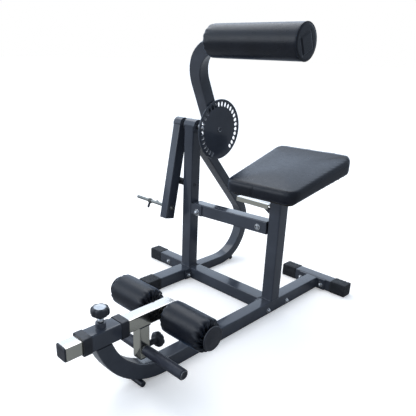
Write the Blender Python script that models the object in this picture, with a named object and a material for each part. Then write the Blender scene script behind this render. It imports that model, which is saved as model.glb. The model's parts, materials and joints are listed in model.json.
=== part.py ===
"""Seated crunch and back-extension bench with a swinging roller arm.

Metres, +Z up.  The origin is on the underside of the main rail, below the seat
post.  +Y runs along the main rail from the ankle rollers to the rear
stabiliser, and the weight arm is on the -X side.
"""
import math

import bpy
from mathutils import Vector

# ---------------------------------------------------------------- dimensions
TUBE = 0.050                    # square frame tube, outside
WALL = 0.0025                   # wall of every frame tube
CORNER = 0.005                  # outside corner radius of a frame tube
GAP = 0.0003                    # clearance between pieces that touch
RUN = 0.0001                    # radial clearance of the pivot shaft

CROSS_WIDE = 0.060              # cross tube and lever rail are wider than high
RAIL_REAR = 0.315               # front face of the rear stabiliser
RAIL_BEND = 0.236               # centre-line radius of the front bend
RAIL_BEND_Y = -0.5560           # where the front bend leaves the floor
RAIL_TURN = math.radians(69.0)   # angle of the front bend
STAB_HALF = 0.149
CAP_SHOW = 0.067                # length of the rubber end caps
CAP_WALL = 0.0025
LEVER_X = -0.438                # plane of the lever post
LEVER_FRONT = -0.262            # front end of the lever rail
BRACE = 0.040                   # height of the bent rear brace tube, as wide as the post
BRACE_Y = 0.1795                # where the brace leaves the floor
BRACE_RADIUS = 0.160
BRACE_SLOPE = math.radians(49.0)
PEG_R = 0.010                   # round bars under the bends
OUTRIGGER_END = -0.690
OUTRIGGER_Y = 0.012

AXIS_Y = -0.005                 # pivot axis, along X
AXIS_Z = 0.660
SHAFT_R = 0.0125
HUB_R = 0.025
SEAT_POST_Y = 0.008
SEAT_POST_TOP = 0.488
TIE_Y = 0.001                   # upper tie tube, rising a little towards the seat post
TIE_Z_LEFT = 0.3215
TIE_Z_RIGHT = 0.3370

DISC_R = 0.1125
DISC_T = 0.005
DISC_X = -0.2935                # outer face of the index disc
DISC_SLOT_R = 0.0066            # half width of a radial slot in the disc
DISC_SLOT_LONG = 0.0190
DISC_SLOTS = 28
DISC_PITCH = math.radians(10.9)
DISC_BORE = 0.0085              # radius of the shaft end in the disc
DISC_FIRST = math.radians(-46.0)
DISC_RING = 0.0950              # radius of the slot circle
PIN_SLOT = 14                   # slot that the index pin faces

WEIGHT_X = -0.5065              # plane of the weight arm
WEIGHT_WIDE = 0.040
WEIGHT_LEAN = math.radians(10.8)
WEIGHT_LONG = 0.396
ROD_DROP = 0.352
ROD_R = 0.007
ROD_TIP = -0.713

ARM_X = -0.3265                 # plane of the straight part of the roller arm
ARM_LEAN = math.radians(24.6)
ARM_TUBE = 0.050
ARM_BEND = 0.148
ARM_REACH = 0.336               # pivot axis to the level part of the arm
CHEST_REACH = 0.340             # pivot axis to the roller axis
CHEST_R = 0.054
CHEST_LEFT = -0.222
CHEST_RIGHT = 0.143

SLIDE = 0.042                   # chrome slide tube
SLIDE_Z = 0.217
SLIDE_FRONT = -0.896
SLIDE_REAR = -0.521
SLEEVE_FRONT = -0.821
SLEEVE_REAR = -0.725
COLLAR = 0.054
COLLAR_LONG = 0.0255
POP_Y = -0.776

AXLE_Y = -0.556
AXLE_Z = 0.209
AXLE_R = 0.011
ANKLE_R = 0.0545
ANKLE_IN = 0.035
ANKLE_LONG = 0.167
ANKLE_CAP_R = 0.037

FOOT_POST = 0.036
FOOT_POST_Y = -0.637
FOOT_POST_LOW = 0.089
FOOT_BAR_Z = 0.115
FOOT_BAR_R = 0.0115
GRIP_R = 0.0165
FOOT_BAR_HALF = 0.180

SEAT_HALF = 0.151               # half width at the middle of the seat
SEAT_FLARE = 0.068              # widening of each side per length towards the rear
SEAT_TURN = math.radians(3.4)   # the seat sits turned a little on its post
SEAT_MIDDLE = 0.036             # Y of the seat's middle
SEAT_LONG = 0.368
SEAT_SLOPE = math.radians(8.9)
SEAT_MID_Z = 0.506              # underside of the seat pad at Y = 0
SEAT_BOARD = 0.010
SEAT_FOAM = 0.044
BRACKET_Y = -0.026              # front of the chrome bar under the seat
BRACKET_TOP = 0.429

X_DIR = Vector((1.0, 0.0, 0.0))
Y_DIR = Vector((0.0, 1.0, 0.0))
Z_DIR = Vector((0.0, 0.0, 1.0))
ARM_UP = Vector((0.0, -math.sin(ARM_LEAN), math.cos(ARM_LEAN)))
ARM_OUT = Vector((0.0, math.cos(ARM_LEAN), math.sin(ARM_LEAN)))
HANG = Vector((0.0, -math.sin(WEIGHT_LEAN), -math.cos(WEIGHT_LEAN)))
HANG_SIDE = Vector((0.0, math.cos(WEIGHT_LEAN), -math.sin(WEIGHT_LEAN)))

PAINTS = {
    "slate": ((0.060, 0.068, 0.085), 0.3, 0.35),
    "chrome": ((0.80, 0.82, 0.84), 1.0, 0.12),
    "zinc": ((0.62, 0.63, 0.64), 1.0, 0.3),
    "vinyl": ((0.018, 0.020, 0.028), 0.0, 0.45),
    "rubber": ((0.020, 0.020, 0.022), 0.0, 0.8),
    "plastic": ((0.022, 0.024, 0.030), 0.0, 0.4),
    "board": ((0.10, 0.085, 0.07), 0.0, 0.8),
}


# ------------------------------------------------------------------- helpers
def clear_scene():
    for item in list(bpy.data.objects):
        bpy.data.objects.remove(item, do_unlink=True)


def paint(item, kind):
    colour, metal, rough = PAINTS[kind]
    material = bpy.data.materials.new(item.name)
    material.use_nodes = True
    shader = material.node_tree.nodes["Principled BSDF"]
    shader.inputs["Base Color"].default_value = (*colour, 1.0)
    shader.inputs["Metallic"].default_value = metal
    shader.inputs["Roughness"].default_value = rough
    item.data.materials.append(material)


def add_mesh(name, points, faces, kind):
    mesh = bpy.data.meshes.new(name)
    mesh.from_pydata([tuple(p) for p in points], [], faces)
    mesh.validate()
    item = bpy.data.objects.new(name, mesh)
    bpy.context.collection.objects.link(item)
    outward(item)
    if kind:
        paint(item, kind)
    return item


def outward(item):
    """Turn every face outwards, judged by the sign of the enclosed volume."""
    mesh = item.data
    mesh.calc_loop_triangles()
    volume = 0.0
    for tri in mesh.loop_triangles:
        a, b, c = (mesh.vertices[i].co for i in tri.vertices)
        volume += a.dot(b.cross(c))
    if volume < 0.0:
        mesh.flip_normals()


def rounded_square(wide, deep, radius, steps=2):
    """Corner points of a rounded rectangle, counter-clockwise."""
    points = []
    for turn, (sx, sy) in enumerate(((1, 1), (-1, 1), (-1, -1), (1, -1))):
        for step in range(steps + 1):
            angle = math.pi / 2 * (turn + step / steps)
            points.append((sx * (wide / 2 - radius) + radius * math.cos(angle),
                           sy * (deep / 2 - radius) + radius * math.sin(angle)))
    return points


def round_profile(radius, count):
    return [(radius * math.cos(2 * math.pi * i / count),
             radius * math.sin(2 * math.pi * i / count)) for i in range(count)]


def place(profile, centre, across, along):
    return [centre + across * a + along * b for a, b in profile]


def strip(first, second, count):
    """Faces that join two rings of points."""
    return [(first + i, first + (i + 1) % count, second + (i + 1) % count, second + i)
            for i in range(count)]


def loft(name, rings, kind):
    """Closed skin over a row of rings, with a flat face at each end."""
    count = len(rings[0])
    points = [p for ring in rings for p in ring]
    faces = []
    for row in range(len(rings) - 1):
        faces += strip(row * count, (row + 1) * count, count)
    faces.append(tuple(reversed(range(count))))
    faces.append(tuple(range((len(rings) - 1) * count, len(rings) * count)))
    return add_mesh(name, points, faces, kind)


def ring_loop(name, rings, kind):
    """Closed skin over a row of rings whose last ring joins the first."""
    count = len(rings[0])
    points = [p for ring in rings for p in ring]
    faces = []
    for row in range(len(rings)):
        faces += strip(row * count, (row + 1) % len(rings) * count, count)
    return add_mesh(name, points, faces, kind)


def pipe(name, outer, inner, kind):
    """Hollow tube from two matching rows of rings."""
    return ring_loop(name, outer + list(reversed(inner)), kind)


def cup(name, outer, inner, kind):
    """Tube that is open at its first ring and closed at its last."""
    return loft(name, list(reversed(outer)) + inner, kind)


def straight(start, end, across, along, wide, deep, radius, wall):
    """Outer and inner rings of a straight rectangular tube."""
    outside = rounded_square(wide, deep, radius)
    inside = rounded_square(wide - 2 * wall, deep - 2 * wall, max(radius - wall, 0.001))
    return ([place(outside, p, across, along) for p in (start, end)],
            [place(inside, p, across, along) for p in (start, end)])


def square_tube(name, start, end, across, along, kind="slate", wide=TUBE, deep=TUBE,
                wall=WALL, radius=CORNER):
    outer, inner = straight(start, end, across, along, wide, deep, radius, wall)
    return pipe(name, outer, inner, kind)


def closed_tube(name, start, end, across, along, kind="slate", wide=TUBE, deep=TUBE,
                wall=WALL, radius=CORNER):
    """Square tube that is open at start and has a welded plate over end."""
    outer, inner = straight(start, end, across, along, wide, deep, radius, wall)
    pull = (start - end).normalized() * wall
    inner[1] = [p + pull for p in inner[1]]
    return cup(name, outer, inner, kind)


def block(name, low, high, kind, radius=0.0015, steps=2):
    """Box with rounded upright edges."""
    centre = (Vector(low) + Vector(high)) / 2
    size = Vector(high) - Vector(low)
    profile = rounded_square(size.x, size.y, radius, steps)
    rings = [place(profile, Vector((centre.x, centre.y, z)), X_DIR, Y_DIR)
             for z in (low[2], high[2])]
    return loft(name, rings, kind)


def lathe(name, profile, origin, axis, kind, count=24, closed=False):
    """Revolve (radius, height) pairs; an open profile ends in flat round faces."""
    side = axis.orthogonal().normalized()
    other = axis.cross(side)
    rings = [place(round_profile(r, count), origin + axis * h, side, other)
             for r, h in profile]
    if closed:
        return ring_loop(name, rings, kind)
    return loft(name, rings, kind)


def rod(name, start, end, radius, kind, count=24, chamfer=0.0):
    """Solid round bar with chamfered ends."""
    axis = end - start
    length = axis.length
    profile = [(radius, 0.0), (radius, length)]
    if chamfer:
        profile = [(radius - chamfer, 0.0), (radius, chamfer),
                   (radius, length - chamfer), (radius - chamfer, length)]
    return lathe(name, profile, start, axis.normalized(), kind, count)


def bush(name, start, end, outer, inner, kind, count=24):
    """Round tube."""
    axis = end - start
    length = axis.length
    profile = [(outer, 0.0), (outer, length), (inner, length), (inner, 0.0)]
    return lathe(name, profile, start, axis.normalized(), kind, count, closed=True)


def combine(item, cutter, operation):
    """Apply one exact Boolean and throw the second solid away."""
    change = item.modifiers.new(operation.lower(), "BOOLEAN")
    change.operation = operation
    change.solver = "EXACT"
    change.object = cutter
    bpy.context.view_layer.update()
    result = item.evaluated_get(bpy.context.evaluated_depsgraph_get())
    mesh = bpy.data.meshes.new_from_object(result)
    item.modifiers.clear()
    item.data = mesh
    bpy.data.objects.remove(cutter, do_unlink=True)
    return item


def cut(item, cutter):
    return combine(item, cutter, "DIFFERENCE")


def drill(item, start, end, radius, count=24):
    return cut(item, rod("cutter", start, end, radius, None, count))


def arc_frames(centre, radius, first, last, steps, east, north):
    """Points and tangents along an arc in the plane of east and north."""
    frames = []
    for step in range(steps + 1):
        angle = first + (last - first) * step / steps
        outward_dir = east * math.cos(angle) + north * math.sin(angle)
        tangent = north * math.cos(angle) - east * math.sin(angle)
        if last < first:
            tangent = -tangent
        frames.append((centre + outward_dir * radius, tangent))
    return frames


def swept(frames, profile, side):
    """Rings of a profile carried along a path that is flat and square to side."""
    return [place(profile, centre, side, tangent.cross(side))
            for centre, tangent in frames]


def slide_to(ring, tangent, point, normal):
    """Move a ring along the tangent on to a plane."""
    return [p + tangent * ((point - p).dot(normal) / tangent.dot(normal)) for p in ring]


# ---------------------------------------------------------------- base frame
def make_main_rail():
    arc = arc_frames(Vector((0, RAIL_BEND_Y, TUBE / 2 + RAIL_BEND)), RAIL_BEND,
                     -math.pi / 2, -math.pi / 2 - RAIL_TURN, 12, Y_DIR, Z_DIR)
    top = Vector((0, 0, SLIDE_Z - TUBE / 2 - GAP))
    rows = []
    for size, radius in ((TUBE, CORNER), (TUBE - 2 * WALL, CORNER - WALL)):
        profile = rounded_square(size, size, radius)
        rings = swept([(Vector((0, RAIL_REAR - 0.005 - 2 * GAP, TUBE / 2)), -Y_DIR)] + arc,
                      profile, X_DIR)
        rings.append(slide_to(rings[-1], arc[-1][1], top, Z_DIR))
        rows.append(rings)
    return pipe("main_rail", rows[0], rows[1], "slate")


def make_end_plate():
    return block("rail_end_plate", (-0.062, RAIL_REAR - 0.005 - GAP, 0.002),
                 (0.062, RAIL_REAR - GAP, 0.048), "slate")


def make_cross_member(name, start, end, wide):
    return square_tube(name, start, end, Y_DIR, Z_DIR, wide=wide)


def cap_shoe(name, tube_end, outward_dir, wide, side):
    """Ribbed rubber shoe over the end of a floor tube, open below the tube."""
    start = tube_end - outward_dir * (CAP_SHOW - 0.004)
    end = tube_end + outward_dir * 0.004
    outer_wide = wide + 2 * CAP_WALL
    high = TUBE + CAP_WALL
    rings = []
    for index in range(9):
        swell = CAP_WALL * (0.0 if index % 2 else 1.0)
        profile = rounded_square(outer_wide - 2 * swell * 0.4, high - swell * 0.4, CORNER, 2)
        along = start.lerp(end, index / 8)
        rings.append(place(profile, along + Z_DIR * (high - swell * 0.4) / 2, side, Z_DIR))
    shoe = loft(name, rings, "rubber")
    room = wide + 2 * GAP
    inside = place(rounded_square(room, 2 * (TUBE + GAP), CORNER, 2), start, side, Z_DIR)
    pocket = loft("cutter", [[p - outward_dir * 0.01 for p in inside],
                             [p + outward_dir * (CAP_SHOW - 0.004 + GAP) for p in inside]], None)
    return cut(shoe, pocket)


def make_stabiliser():
    middle = Vector((0, RAIL_REAR + TUBE / 2, TUBE / 2))
    reach = X_DIR * STAB_HALF
    make_cross_member("rear_stabiliser", middle - reach, middle + reach, TUBE)
    for name, sign in (("stabiliser_cap_left", -1), ("stabiliser_cap_right", 1)):
        tip = Vector((sign * STAB_HALF, middle.y, 0))
        cap_shoe(name, tip, X_DIR * sign, TUBE, Y_DIR)


def make_lever_base():
    front = Vector((LEVER_X, LEVER_FRONT, TUBE / 2))
    rear = Vector((LEVER_X, CROSS_WIDE / 2 + 0.004, TUBE / 2))
    closed_tube("lever_rail", front, rear, X_DIR, Z_DIR, wide=CROSS_WIDE)
    cap_shoe("lever_rail_cap", Vector((LEVER_X, LEVER_FRONT, 0)), -Y_DIR, CROSS_WIDE, X_DIR)
    inner_end = LEVER_X - CROSS_WIDE / 2 - GAP
    closed_tube("outrigger", Vector((OUTRIGGER_END + 0.004, OUTRIGGER_Y, TUBE / 2)),
                Vector((inner_end, OUTRIGGER_Y, TUBE / 2)), Y_DIR, Z_DIR)
    cap_shoe("outrigger_cap", Vector((OUTRIGGER_END + 0.004, OUTRIGGER_Y, 0)), -X_DIR,
             TUBE, Y_DIR)


def make_cross_tube():
    left = LEVER_X + CROSS_WIDE / 2 + 0.005 + 2 * GAP
    right = -TUBE / 2 - 0.005 - 2 * GAP
    make_cross_member("cross_tube", Vector((left, 0, TUBE / 2)),
                      Vector((right, 0, TUBE / 2)), CROSS_WIDE)
    for name, x, y_low, y_high in (("cross_plate_left", left - 0.005 - GAP, -0.060, 0.060),
                                   ("cross_plate_right", right + GAP, -0.052, 0.104)):
        block(name, (x, y_low, 0.002), (x + 0.005, y_high, 0.048), "slate")


def make_rear_brace():
    arc = arc_frames(Vector((LEVER_X, BRACE_Y, BRACE / 2 + BRACE_RADIUS)), BRACE_RADIUS,
                     -math.pi / 2, math.pi / 2 - BRACE_SLOPE, 18, Y_DIR, Z_DIR)
    start = (Vector((LEVER_X, CROSS_WIDE / 2 + 0.004 + GAP, BRACE / 2)), Y_DIR)
    wall_point = Vector((0, AXIS_Y + TUBE / 2 + GAP, 0))
    rows = []
    for trim, radius in ((0.0, CORNER), (2 * WALL, CORNER - WALL)):
        profile = rounded_square(TUBE - trim, BRACE - trim, radius)
        rings = swept([start] + arc, profile, X_DIR)
        rings.append(slide_to(rings[-1], arc[-1][1], wall_point, Y_DIR))
        rows.append(rings)
    pipe("rear_brace", rows[0], rows[1], "slate")


def make_peg(name, x_left, x_right, y):
    rod(name, Vector((x_left, y, PEG_R)), Vector((x_right, y, PEG_R)), PEG_R,
        "plastic", 20, 0.0015)


def peg_offset(bend):
    """How far beyond the start of a bend a peg on the floor just touches it."""
    return math.sqrt(4 * bend * PEG_R) + 0.0006


def make_pegs():
    """Round bars on the floor under the two bends."""
    make_peg("front_peg", -0.034, 0.034, RAIL_BEND_Y - peg_offset(RAIL_BEND + TUBE / 2))
    make_peg("rear_peg", LEVER_X - 0.028, LEVER_X + 0.018,
             BRACE_Y + peg_offset(BRACE_RADIUS + BRACE / 2))


# --------------------------------------------------------------------- posts
def make_seat_post():
    low = Vector((0, SEAT_POST_Y, TUBE + GAP))
    high = Vector((0, SEAT_POST_Y, SEAT_POST_TOP))
    post = square_tube("seat_post", low, high, X_DIR, Y_DIR)
    slope = Vector((0, -math.sin(SEAT_SLOPE), math.cos(SEAT_SLOPE)))
    face = Vector((0, 0, SEAT_MID_Z - (SEAT_BOARD + 0.0045) / math.cos(SEAT_SLOPE) - GAP))
    across = Vector((0, math.cos(SEAT_SLOPE), math.sin(SEAT_SLOPE)))
    profile = rounded_square(0.2, 0.2, 0.002, 1)
    rings = [place(profile, face + slope * h, X_DIR, across) for h in (0.0, 0.06)]
    return cut(post, loft("cutter", rings, None))


def make_lever_post():
    low = Vector((LEVER_X, AXIS_Y, TUBE + GAP))
    high = Vector((LEVER_X, AXIS_Y, AXIS_Z - 0.002))
    post = square_tube("lever_post", low, high, X_DIR, Y_DIR)
    side = X_DIR * 0.06
    centre = Vector((LEVER_X, AXIS_Y, AXIS_Z))
    drill(post, centre - side, centre + side, HUB_R + GAP, 32)
    bush("pivot_hub", centre - X_DIR * (TUBE / 2 + 0.003), centre + X_DIR * (TUBE / 2 + 0.006),
         HUB_R, SHAFT_R + RUN, "slate", 32)


def make_tie():
    """Upper tie: hangs in a folded bracket on the lever post and on a stub at the seat post."""
    web = LEVER_X + TUBE / 2 + GAP
    start = Vector((web + 0.012, TIE_Y, TIE_Z_LEFT))
    end = Vector((-TUBE / 2 - 0.0016, TIE_Y, TIE_Z_RIGHT))
    along = (end - start).normalized()
    rise = along.cross(-Y_DIR)
    square_tube("tie_tube", start, end, Y_DIR, rise)
    half = TUBE / 2 + GAP
    outline = [(0.0, -half - 0.004), (0.060, -half - 0.004), (0.060, -half), (0.004, -half),
               (0.004, half), (0.060, half), (0.060, half + 0.004), (0.0, half + 0.004)]
    rings = [[Vector((web + x, TIE_Y + y, TIE_Z_LEFT + h)) for x, y in outline]
             for h in (-0.022, 0.023)]
    loft("tie_bracket", rings, "slate")
    room = TUBE - 2 * WALL - 0.001
    stub_end = end - along * 0.070
    root = Vector((-TUBE / 2 - GAP, TIE_Y, TIE_Z_RIGHT))
    square_tube("tie_stub", stub_end, slide_point(root, along), Y_DIR, rise, "slate", room, room,
                0.003, 0.003)


def slide_point(root, along):
    """Step back along a direction so that a sloping tube end clears the post."""
    return root - along * (0.5 * TUBE * abs(along.z) + GAP)


def paint_again(item, kind):
    item.data.materials.clear()
    paint(item, kind)


def dome_bolt(name, seat, axis, radius, height):
    """Washer, hexagon flange and domed nut in one piece."""
    profile = [(radius, 0.0), (radius, 0.002), (radius * 0.78, 0.0026),
               (radius * 0.74, height * 0.55), (radius * 0.55, height * 0.85),
               (radius * 0.22, height)]
    return lathe(name, profile, seat, axis, "zinc", 20)


def make_tie_bolts():
    face = TIE_Y - TUBE / 2 - GAP
    dome_bolt("tie_bolt_left", Vector((-0.377, face - 0.004 - GAP, TIE_Z_LEFT - 0.009)),
              -Y_DIR, 0.0145, 0.013)
    dome_bolt("tie_bolt_right", Vector((-0.065, face, TIE_Z_RIGHT - 0.004)), -Y_DIR, 0.0140, 0.008)


def make_stop_peg():
    x_face = LEVER_X - TUBE / 2 - GAP
    reach = WEIGHT_X + WEIGHT_WIDE / 2 - 0.030
    middle = Vector((0, AXIS_Y, AXIS_Z)) + HANG * 0.236 + HANG_SIDE * (TUBE / 2 + 0.0145 + GAP)
    rod("stop_peg", Vector((reach, middle.y, middle.z)), Vector((x_face, middle.y, middle.z)),
        0.0145, "rubber", 32, 0.0015)


# ---------------------------------------------------------------------- seat
def seat_frame(y):
    """Height of the sloping seat underside above the floor."""
    return SEAT_MID_Z + math.tan(SEAT_SLOPE) * y


def seat_ring(inset, lift, crown=0.0, lip=0.0, corner=0.038):
    """Outline of the seat, moved in by inset and raised by lift, crown and lip."""
    wide = 2 * (SEAT_HALF - inset)
    deep = SEAT_LONG - 2 * inset
    radius = min(max(corner - inset, 0.012), 0.45 * min(wide, deep))
    points = []
    for x, y in rounded_square(wide, deep, radius, 4):
        bulge = crown * (1 - (x / SEAT_HALF) ** 2)
        rise = lip * max(0.0, (y - 0.05) / (SEAT_LONG / 2 - 0.05)) ** 2
        flared = x * (1 + SEAT_FLARE * y / SEAT_HALF)
        turned_x = flared * math.cos(SEAT_TURN) - y * math.sin(SEAT_TURN)
        turned_y = flared * math.sin(SEAT_TURN) + y * math.cos(SEAT_TURN) + SEAT_MIDDLE
        points.append(Vector((turned_x, turned_y, seat_frame(turned_y) + lift + bulge + rise)))
    return points


def make_seat():
    loft("seat_board", [seat_ring(0.020, -SEAT_BOARD - GAP), seat_ring(0.020, -GAP)], "board")
    top = SEAT_FOAM
    rings = [seat_ring(0.007, 0.0), seat_ring(0.0015, 0.002), seat_ring(0.0, 0.009, 0, 0.002)]
    rings += [seat_ring(0.0, top - 0.012, 0.0, 0.017), seat_ring(0.003, top - 0.004, 0.0, 0.022)]
    rings.append(seat_ring(0.011, top, 0.002, 0.024))
    for inset, crown in ((0.028, 0.006), (0.055, 0.009), (0.090, 0.011), (0.125, 0.012)):
        rings.append(seat_ring(inset, top, crown, 0.024))
    loft("seat_pad", rings, "vinyl")


def make_seat_mount():
    slope = math.tan(SEAT_SLOPE)
    rings = []
    for y in (-0.085, 0.085):
        z_top = seat_frame(y) - SEAT_BOARD - 2 * GAP
        ring = [Vector((x, y, z)) for x, z in
                ((-0.055, z_top - 0.004), (0.055, z_top - 0.004), (0.055, z_top), (-0.055, z_top))]
        rings.append(ring)
    loft("seat_plate", rings, "slate")
    deep, high, wall = 0.038, 0.018, 0.003
    outline = [(0.0, 0.0), (wall, 0.0), (wall, high - wall), (deep - wall, high - wall),
               (deep - wall, 0.0), (deep, 0.0), (deep, high), (deep / 2 + 0.002, high),
               (deep / 2, high - 0.0015), (deep / 2 - 0.002, high), (0.0, high)]
    rings = [[Vector((x, BRACKET_Y + a, BRACKET_TOP - high + b)) for a, b in outline]
             for x in (-0.172, -TUBE / 2 - GAP)]
    loft("seat_bracket", rings, "chrome")


# ----------------------------------------------------- sleeve and slide tube
def make_sleeve():
    front = Vector((0, SLEEVE_FRONT, SLIDE_Z))
    rear = Vector((0, SLEEVE_REAR, SLIDE_Z))
    sleeve = square_tube("guide_sleeve", front, rear, X_DIR, Z_DIR, wall=0.003)
    pin_line = Vector((0, POP_Y, SLIDE_Z))
    combine(sleeve, rod("boss", pin_line + Z_DIR * 0.0235, pin_line + Z_DIR * 0.0413, 0.0145, None),
            "UNION")
    drill(sleeve, pin_line + Z_DIR * 0.015, pin_line + Z_DIR * 0.06, 0.0066, 24)
    paint_again(sleeve, "slate")
    for name, start, way in (("collar_front", front, -Y_DIR), ("collar_rear", rear, Y_DIR)):
        square_tube(name, start + way * GAP, start + way * COLLAR_LONG, X_DIR, Z_DIR, "plastic",
                    COLLAR, COLLAR, (COLLAR - SLIDE) / 2 - GAP, 0.006)


def knob_profile(radius, height):
    return [(radius - 0.004, 0.0), (radius, 0.004), (radius, height - 0.004),
            (radius - 0.004, height)]


def lobed_knob(name, origin, axis, radius, height, stem_r, stem, spike_r, spike, lobes=8):
    """Grip with shallow lobes on a round stem; the stem ends in a thinner pin."""
    side = axis.orthogonal().normalized()
    other = axis.cross(side)
    count = lobes * 3
    rings = []
    for reach, start in ((spike_r, -stem - spike), (spike_r, -stem), (stem_r, -stem), (stem_r, 0.0)):
        rings.append(place(round_profile(reach, count), origin + axis * start, side, other))
    for reach, h in knob_profile(radius, height):
        profile = []
        for i in range(count):
            wave = 1.0 - 0.05 * (1 - math.cos(2 * math.pi * i * lobes / count)) / 2
            angle = 2 * math.pi * i / count
            profile.append((reach * wave * math.cos(angle), reach * wave * math.sin(angle)))
        rings.append(place(profile, origin + axis * h, side, other))
    return loft(name, rings, "plastic")


def make_pop_knob():
    base = SLIDE_Z + TUBE / 2 + 0.016 + 0.018
    tip = SLIDE_Z + SLIDE / 2 + 0.0008
    lobed_knob("pop_knob", Vector((0, POP_Y, base)), Z_DIR, 0.026, 0.028, 0.0085, 0.017,
               0.0058, base - 0.017 - tip)


def make_slide_tube():
    front = Vector((0, SLIDE_FRONT, SLIDE_Z))
    rear = Vector((0, SLIDE_REAR, SLIDE_Z))
    tube = closed_tube("slide_tube", front, rear, X_DIR, Z_DIR, "chrome", SLIDE, SLIDE, 0.002,
                       0.004)
    side = X_DIR * 0.03
    axle = Vector((0, AXLE_Y, AXLE_Z))
    drill(tube, axle - side, axle + side, AXLE_R + GAP, 32)
    loft("slide_plug", plug_rings(front, -Y_DIR, X_DIR, Z_DIR, SLIDE, 0.002), "plastic")


def plug_rings(mouth, outward_dir, across, along, size, wall):
    """Push-in plug: a stub inside the tube and a rounded cover outside it."""
    inner = rounded_square(size - 2 * wall - 2 * GAP, size - 2 * wall - 2 * GAP, 0.002)
    outer = rounded_square(size, size, CORNER)
    shrunk = rounded_square(size - 0.003, size - 0.003, CORNER - 0.001)
    steps = ((inner, -0.012), (inner, GAP), (outer, GAP), (outer, 0.003), (shrunk, 0.0045))
    return [place(profile, mouth + outward_dir * h, across, along) for profile, h in steps]


def make_foot_post():
    centre = Vector((0, FOOT_POST_Y, 0))
    top = SLIDE_Z - SLIDE / 2 - GAP
    post = square_tube("foot_post", centre + Z_DIR * FOOT_POST_LOW, centre + Z_DIR * top,
                       X_DIR, Y_DIR, "chrome", FOOT_POST, FOOT_POST, 0.002, 0.003)
    side = X_DIR * 0.03
    middle = centre + Z_DIR * FOOT_BAR_Z
    drill(post, middle - side, middle + side, FOOT_BAR_R + GAP, 32)
    drill(post, middle, middle + Y_DIR * 0.03, 0.0044, 16)
    loft("foot_post_plug", plug_rings(centre + Z_DIR * FOOT_POST_LOW, -Z_DIR, X_DIR, Y_DIR,
                                      FOOT_POST, 0.002), "plastic")


def make_foot_bar():
    middle = Vector((0, FOOT_POST_Y, FOOT_BAR_Z))
    reach = X_DIR * FOOT_BAR_HALF
    bush("foot_bar", middle - reach, middle + reach, FOOT_BAR_R, FOOT_BAR_R - 0.002, "chrome")
    for name, sign in (("foot_grip_left", -1), ("foot_grip_right", 1)):
        way = X_DIR * sign
        inner_r = FOOT_BAR_R + GAP
        start = FOOT_POST / 2 + 0.0025
        end = FOOT_BAR_HALF
        profile = [(GRIP_R - 0.001, start), (GRIP_R, start + 0.001), (GRIP_R, end + 0.001),
                   (GRIP_R - 0.002, end + 0.0035), (FOOT_BAR_R - 0.004, end + 0.0035),
                   (FOOT_BAR_R - 0.004, end + GAP), (inner_r, end + GAP), (inner_r, start)]
        lathe(name, profile, middle, way, "rubber", 20, closed=True)


def make_lock_knob():
    face = FOOT_POST_Y + FOOT_POST / 2
    stem = 0.036
    reach = face + stem
    spike = 0.004
    lobed_knob("lock_knob", Vector((0, reach, FOOT_BAR_Z)), Y_DIR, 0.0250, 0.020, 0.009,
               stem - GAP, 0.004, spike)


def make_axle():
    end = ANKLE_IN + ANKLE_LONG + 0.003
    centre = Vector((0, AXLE_Y, AXLE_Z))
    rod("roller_axle", centre - X_DIR * end, centre + X_DIR * end, AXLE_R, "chrome", 32)
    for name, sign in (("axle_cap_left", -1), ("axle_cap_right", 1)):
        profile = [(ANKLE_CAP_R - 0.002, GAP), (ANKLE_CAP_R, 0.002), (ANKLE_CAP_R, 0.004),
                   (ANKLE_CAP_R - 0.003, 0.0065), (0.010, 0.0085)]
        lathe(name, profile, centre + X_DIR * sign * end, X_DIR * sign, "plastic", 24)


def make_ankle_rollers():
    half = ANKLE_LONG / 2
    bore = AXLE_R + 0.001
    profile = [(bore, -half + 0.004), (0.020, -half), (0.036, -half + 0.001),
               (0.0465, -half + 0.006), (0.052, -half + 0.014), (ANKLE_R, -half + 0.026)]
    profile += [(r, -h) for r, h in reversed(profile)]
    for name, sign in (("ankle_roller_left", -1), ("ankle_roller_right", 1)):
        centre = Vector((sign * (ANKLE_IN + half), AXLE_Y, AXLE_Z))
        lathe(name, profile, centre, X_DIR, "vinyl", 30, closed=True)


# ------------------------------------------------------------ swinging crank
def make_shaft():
    left = WEIGHT_X - WEIGHT_WIDE / 2 - 0.002
    right = DISC_X + 0.002
    shoulder = DISC_X - DISC_T - GAP
    profile = [(SHAFT_R - 0.001, left), (SHAFT_R, left + 0.001), (SHAFT_R, shoulder),
               (DISC_BORE, shoulder), (DISC_BORE, right - 0.001), (DISC_BORE - 0.001, right)]
    lathe("pivot_shaft", profile, Vector((0, AXIS_Y, AXIS_Z)), X_DIR, "zinc", 32)


def slot_spoke(index):
    """Direction from the pivot axis to one index slot."""
    angle = DISC_FIRST + DISC_PITCH * index
    return Vector((0, math.cos(angle), math.sin(angle)))


def slot_outline(spoke, across, steps=4):
    """Round-ended slot lying along the spoke."""
    points = []
    reach = DISC_SLOT_LONG / 2 - DISC_SLOT_R
    for end in (0, 1):
        for step in range(steps + 1):
            angle = math.pi * (end + step / steps) - math.pi / 2
            offset = reach if end == 0 else -reach
            points.append(spoke * (offset + DISC_SLOT_R * math.cos(angle))
                          + across * DISC_SLOT_R * math.sin(angle))
    return points


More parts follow.
